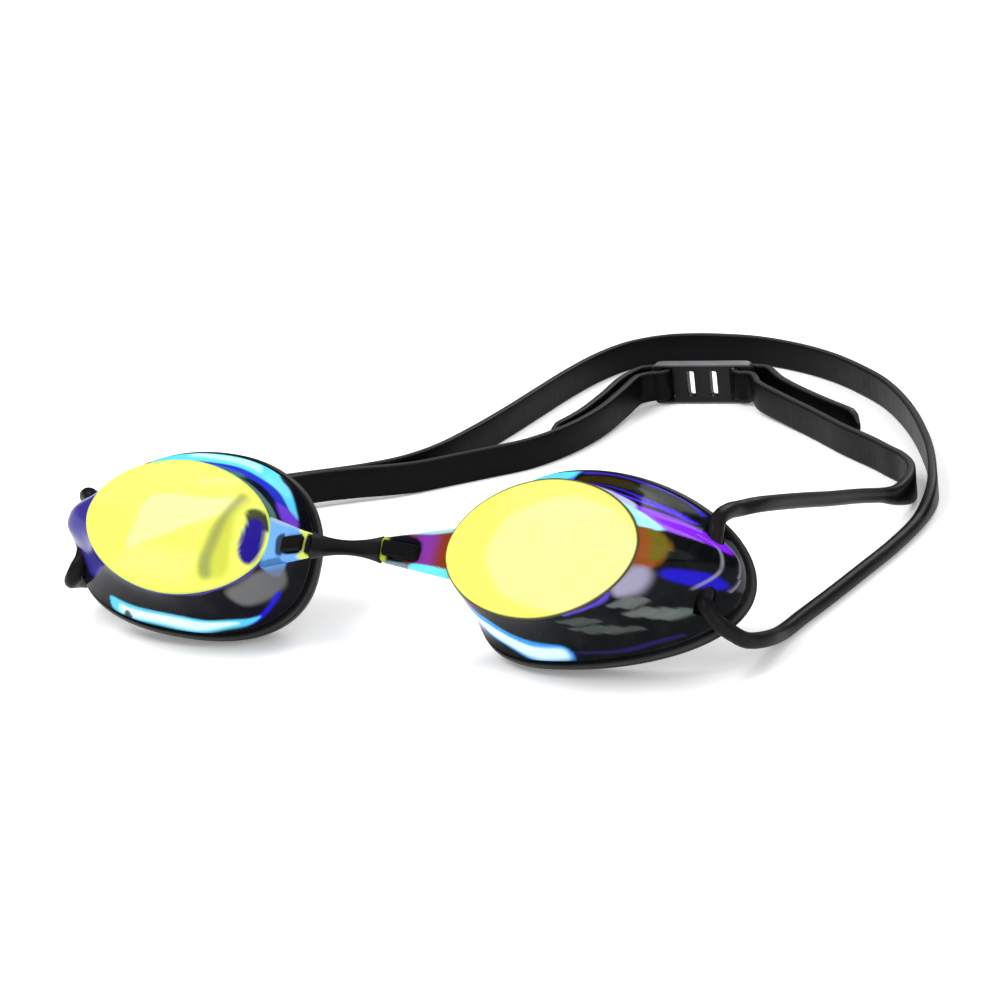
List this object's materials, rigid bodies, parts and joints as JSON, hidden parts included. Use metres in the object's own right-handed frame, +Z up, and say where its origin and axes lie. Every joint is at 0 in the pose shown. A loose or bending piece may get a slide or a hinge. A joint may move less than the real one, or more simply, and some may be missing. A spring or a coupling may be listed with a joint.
{
  "type": "swim goggles",
  "caption": "Racing swim goggles lying on a table: mirrored oval eye cups on soft gaskets, a hooked nose bridge, and a cord strap that flattens into bands joined by a ladder clip.",
  "frame": {"origin": "on the table, midway between the eye cups and below the nose bridge", "axes": "+Z up from the table; the face of the goggles looks toward -Y and up; +X to the right as seen from in front; the strap lies toward +Y"},
  "size_m": [0.1676, 0.2001, 0.0368],
  "materials": {
    "mirror_lens": "polished, mirror coated",
    "gasket": "satin",
    "bridge": "satin",
    "strap": "satin",
    "clip": "satin"
  },
  "bodies": {
    "nose_bridge": {"nose_bridge": "bridge"},
    "left_cup": {"left_lens": "mirror_lens", "left_gasket": "gasket", "left_tunnel_cord": "strap"},
    "right_cup": {"right_lens": "mirror_lens", "right_gasket": "gasket", "right_tunnel_cord": "strap"},
    "outer_strap": {"outer_band": "strap", "left_lower_cord": "strap", "right_lower_cord": "strap"},
    "inner_strap": {"left_upper_cord": "strap", "right_upper_cord": "strap", "left_inner_band": "strap", "right_inner_band": "strap", "left_strap_end": "strap", "right_strap_end": "strap"},
    "clip": {"clip": "clip"}
  },
  "joints": [
    {"name": "left_cup_swivel", "type": "hinge", "parent": "nose_bridge", "child": "left_cup", "pos_m": [-0.00821, -0.00268, 0.02501], "axis": [0, -0.6088, -0.7934], "range_deg": [-5, 10], "deforming": ["left_upper_cord", "left_lower_cord"]},
    {"name": "right_cup_swivel", "type": "hinge", "parent": "nose_bridge", "child": "right_cup", "pos_m": [0.00821, -0.00268, 0.02501], "axis": [0, 0.6088, 0.7934], "range_deg": [-5, 10], "deforming": ["right_upper_cord", "right_lower_cord"]},
    {"name": "outer_strap_swing", "type": "hinge", "parent": "nose_bridge", "child": "outer_strap", "pos_m": [0, 0.045, 0.006], "axis": [1, 0, 0], "range_deg": [-20, 30], "deforming": ["left_lower_cord", "right_lower_cord"]},
    {"name": "inner_strap_swing", "type": "hinge", "parent": "nose_bridge", "child": "inner_strap", "pos_m": [0, 0.045, 0.006], "axis": [1, 0, 0], "range_deg": [-20, 30], "deforming": ["left_upper_cord", "right_upper_cord"]},
    {"name": "clip_slide", "type": "slide", "parent": "inner_strap", "child": "clip", "axis": [0.9945, 0.1045, 0], "range_m": [-0.003, 0.003], "deforming": ["left_strap_end", "right_strap_end", "left_inner_band", "right_inner_band"]}
  ]
}
